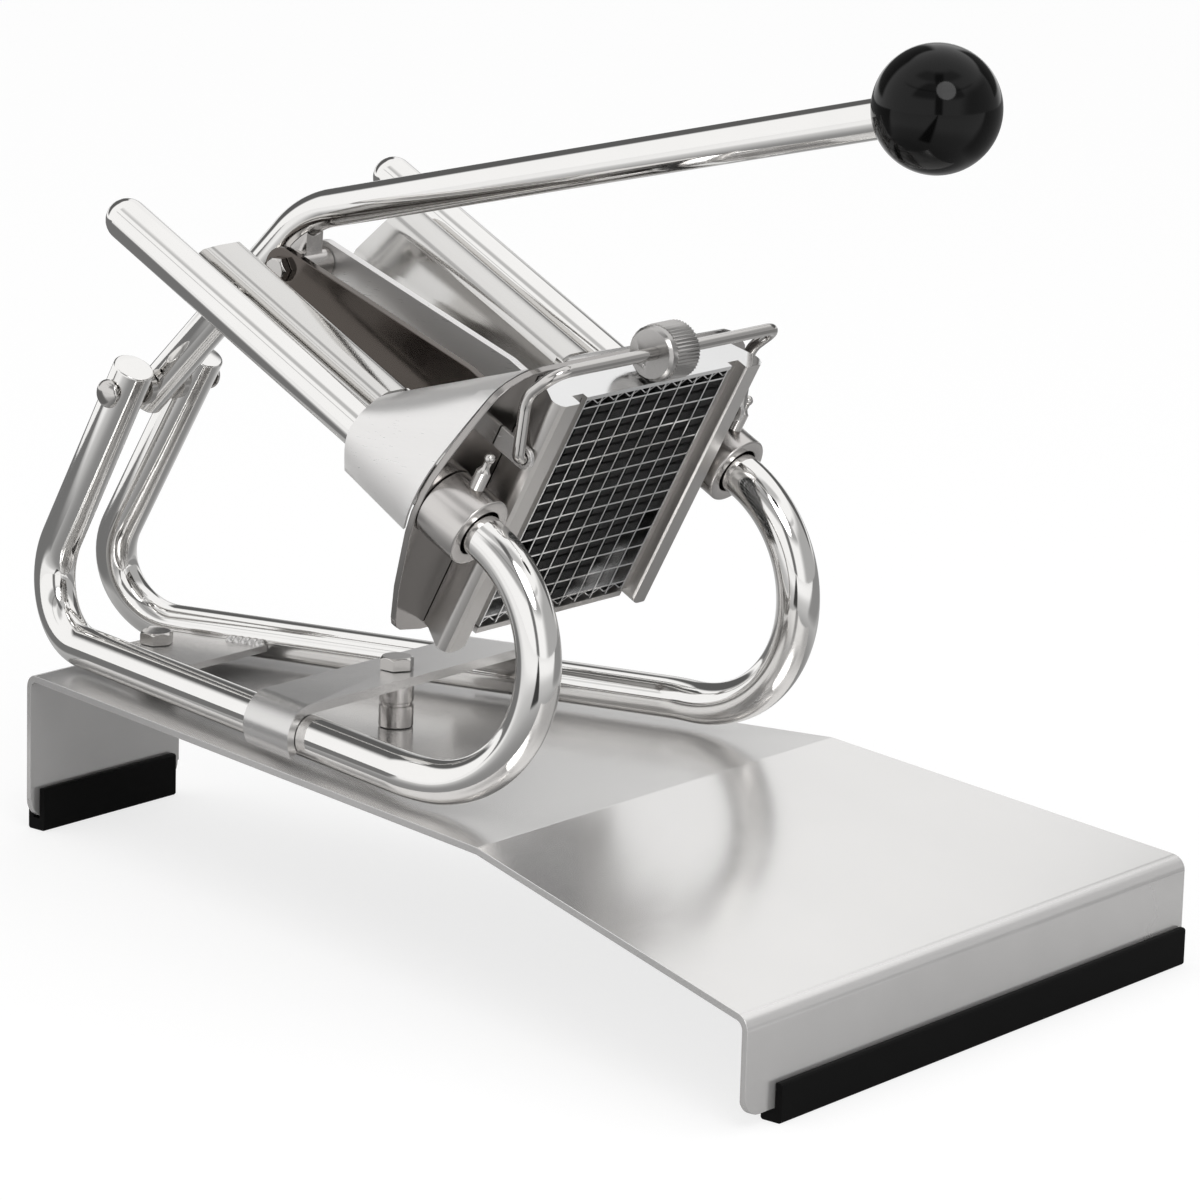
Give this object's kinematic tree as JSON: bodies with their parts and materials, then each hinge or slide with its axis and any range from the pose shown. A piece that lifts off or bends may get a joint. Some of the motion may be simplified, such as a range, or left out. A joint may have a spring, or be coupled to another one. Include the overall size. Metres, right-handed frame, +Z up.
{
  "type": "french fry cutter",
  "caption": "Table-top cutter with a bent steel base, bent side tubes, a sloping chute with a blade grid and latch, and a hand lever that drives a toothed pusher.",
  "frame": {"origin": "middle of the footprint's bounding box, on the ground", "axes": "+X towards the blade grid and the knob, +Y to the left seen from behind, +Z up"},
  "size_m": [0.492, 0.292, 0.3856],
  "materials": {
    "satin": "brushed satin stainless steel",
    "polished": "polished stainless steel",
    "mirror_dark": "mirror polished stainless steel that reflects dark",
    "blade": "bright blade steel",
    "rubber": "matt black rubber",
    "black_gloss": "high gloss black plastic",
    "black_matt": "matt black plastic"
  },
  "bodies": {
    "frame": {"base_plate": "satin", "front_foot_strip": "rubber", "rear_foot_strip": "rubber", "side_tube_left": "polished", "side_tube_right": "polished", "front_crossbar": "satin", "front_bolt": "polished", "front_standoff": "polished", "front_nut": "polished", "rear_cross_plate": "satin", "rear_bolt": "polished", "rear_spacer": "polished", "rear_nut": "polished", "head_plate": "mirror_dark", "hood_left": "satin", "hood_right": "satin", "collar_left": "satin", "collar_right": "satin", "set_screw_left": "polished", "set_screw_right": "polished", "chute": "polished", "chute_screw_left": "polished", "chute_screw_right": "polished", "chute_spacer_left": "satin", "chute_spacer_right": "satin", "die_frame": "satin", "blade_grid": "blade", "bail_lug_left": "satin", "bail_lug_right": "satin", "pivot_pin": "polished"},
    "lever": {"lever_tube": "polished", "lever_washer_left": "satin", "lever_washer_right": "satin", "lever_boss": "satin", "knob": "black_gloss"},
    "links": {"link_left": "mirror_dark", "link_right": "mirror_dark", "link_bolt": "polished", "link_nut": "polished", "link_cross_pin": "polished"},
    "pusher": {"pusher_block": "black_matt", "pusher_bracket": "satin"},
    "bail": {"bail_wire": "satin"},
    "roller": {"latch_roller": "satin"}
  },
  "joints": [
    {"name": "lever_pivot", "type": "hinge", "parent": "frame", "child": "lever", "pos_m": [-0.1941, 0, 0.1965], "axis": [0, -1, 0], "range_deg": [0, 45]},
    {"name": "link_pivot", "type": "hinge", "parent": "lever", "child": "links", "pos_m": [-0.1108, 0, 0.2593], "axis": [0, -1, 0], "range_deg": [-47, 0]},
    {"name": "pusher_slide", "type": "slide", "parent": "frame", "child": "pusher", "axis": [0.887, 0, -0.4617], "range_m": [-0.08, 0]},
    {"name": "bail_pivot", "type": "hinge", "parent": "frame", "child": "bail", "pos_m": [0.06487, 0, 0.21444], "axis": [0, 1, 0], "range_deg": [0, 95]},
    {"name": "roller_spin", "type": "hinge", "parent": "bail", "child": "roller", "pos_m": [0.08322, 0, 0.25077], "axis": [0, 1, 0], "range_deg": [0, 265]}
  ],
  "couplings": [
    {"joint": "link_pivot", "follows": "lever_pivot", "ratio": -1.04},
    {"joint": "pusher_slide", "follows": "lever_pivot", "m_per_rad": -0.1015}
  ]
}
